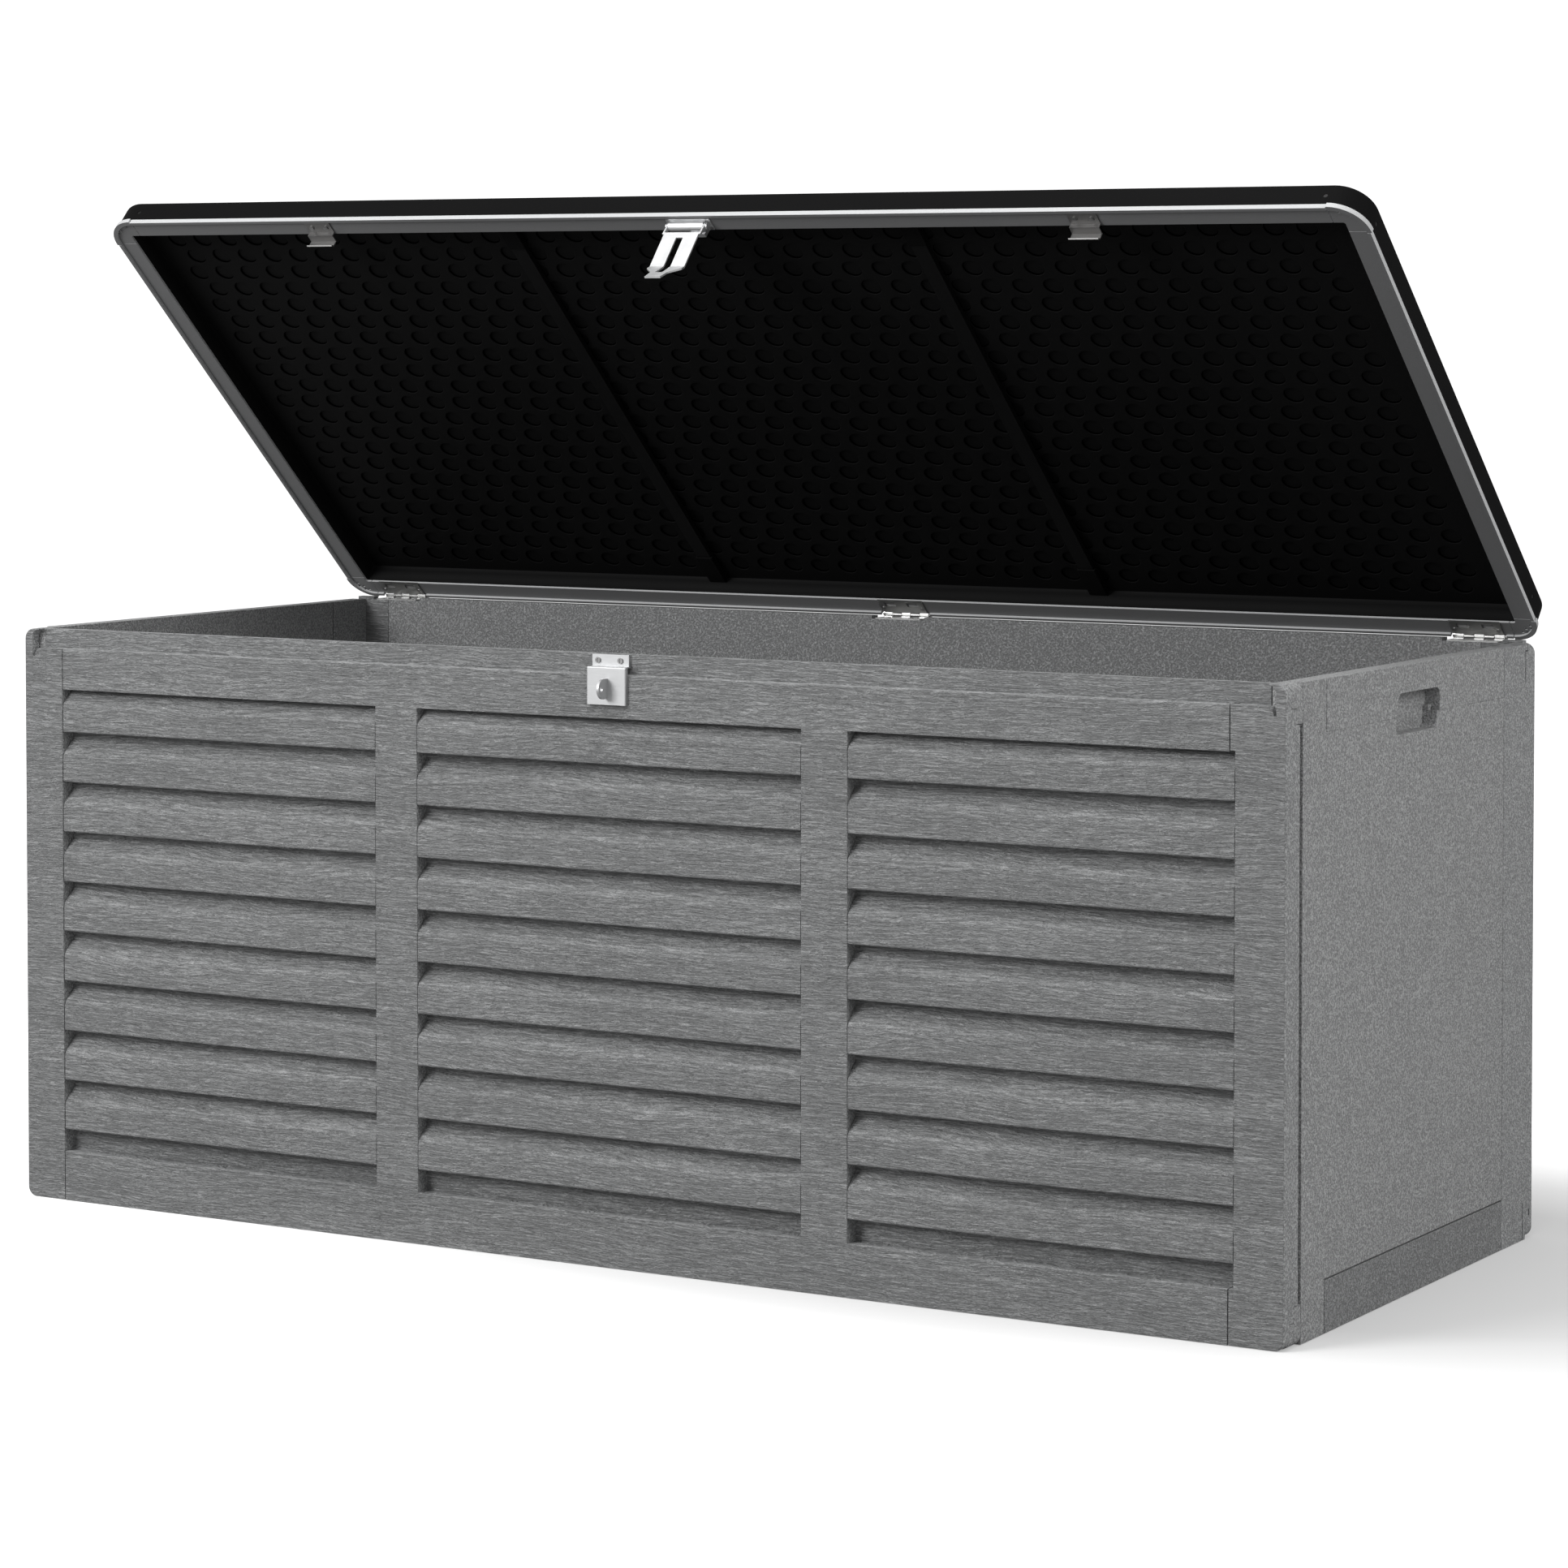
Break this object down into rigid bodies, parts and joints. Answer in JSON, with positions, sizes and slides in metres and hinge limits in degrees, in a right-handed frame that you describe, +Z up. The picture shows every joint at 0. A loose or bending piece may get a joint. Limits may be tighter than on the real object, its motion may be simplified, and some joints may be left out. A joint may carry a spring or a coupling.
{
  "type": "deck storage box",
  "caption": "Rectangular outdoor storage box with louvred front, corner posts, hand-holds, and a hinged hollow lid with steel bars, catches, hasp and padlock staple.",
  "frame": {"origin": "centre of the box's footprint, on the ground", "axes": "+X along the box's length to its right end, +Y to the rear (hinge) side, +Z up; the louvred front faces -Y"},
  "size_m": [1.7066, 0.7527, 1.2235],
  "materials": {
    "grey_woodgrain": "moulded wood grain, matte",
    "grey_plastic": "fine moulded texture, matte",
    "rim_plastic": "smooth satin",
    "lid_plastic": "satin, moulded",
    "bar_steel": "powder coated",
    "zinc_steel": "zinc plated, satin",
    "hinge_steel": "bright plated",
    "screw_steel": "plated"
  },
  "bodies": {
    "box": {"back_panel": "grey_plastic", "corner_connector_left": "grey_plastic", "corner_connector_right": "grey_plastic", "corner_post_front_left": "grey_plastic", "corner_post_front_right": "grey_plastic", "corner_post_rear_left": "grey_plastic", "corner_post_rear_right": "grey_plastic", "floor_panel": "grey_plastic", "front_panel": "grey_woodgrain", "hinge_box_leaf_centre": "hinge_steel", "hinge_box_leaf_left": "hinge_steel", "hinge_box_leaf_right": "hinge_steel", "hinge_box_screws": "hinge_steel", "hinge_pins": "hinge_steel", "side_panel_left": "grey_plastic", "side_panel_right": "grey_plastic", "side_skirt_left": "grey_plastic", "side_skirt_right": "grey_plastic", "side_top_rail_left": "grey_plastic", "side_top_rail_right": "grey_plastic", "staple_loop": "zinc_steel", "staple_plate": "zinc_steel", "staple_screws": "screw_steel"},
    "lid": {"hasp_bracket": "zinc_steel", "hasp_bracket_screws": "screw_steel", "hasp_pin": "zinc_steel", "hinge_lid_leaf_centre": "hinge_steel", "hinge_lid_leaf_left": "hinge_steel", "hinge_lid_leaf_right": "hinge_steel", "hinge_lid_screws": "hinge_steel", "lid_bar_left": "bar_steel", "lid_bar_right": "bar_steel", "lid_bar_sockets": "lid_plastic", "lid_catch_left": "zinc_steel", "lid_catch_right": "zinc_steel", "lid_catch_screws": "screw_steel", "lid_inner_skin": "lid_plastic", "lid_shell": "lid_plastic", "lid_shell_screws": "screw_steel", "rim_corner_front_left": "rim_plastic", "rim_corner_front_right": "rim_plastic", "rim_corner_rear_left": "rim_plastic", "rim_corner_rear_right": "rim_plastic", "rim_rail_front": "rim_plastic", "rim_rail_left": "rim_plastic", "rim_rail_rear": "rim_plastic", "rim_rail_right": "rim_plastic"},
    "hasp": {"hasp_strap": "zinc_steel"}
  },
  "joints": [
    {"name": "lid_hinge", "type": "hinge", "parent": "box", "child": "lid", "pos_m": [0, 0.359, 0.706], "axis": [-1, 0, 0], "range_deg": [-42.5, 57.5]},
    {"name": "hasp_hinge", "type": "hinge", "parent": "lid", "child": "hasp", "pos_m": [0.0045, -0.17832, 1.18683], "axis": [-1, 0, 0], "range_deg": [0, 70]}
  ]
}
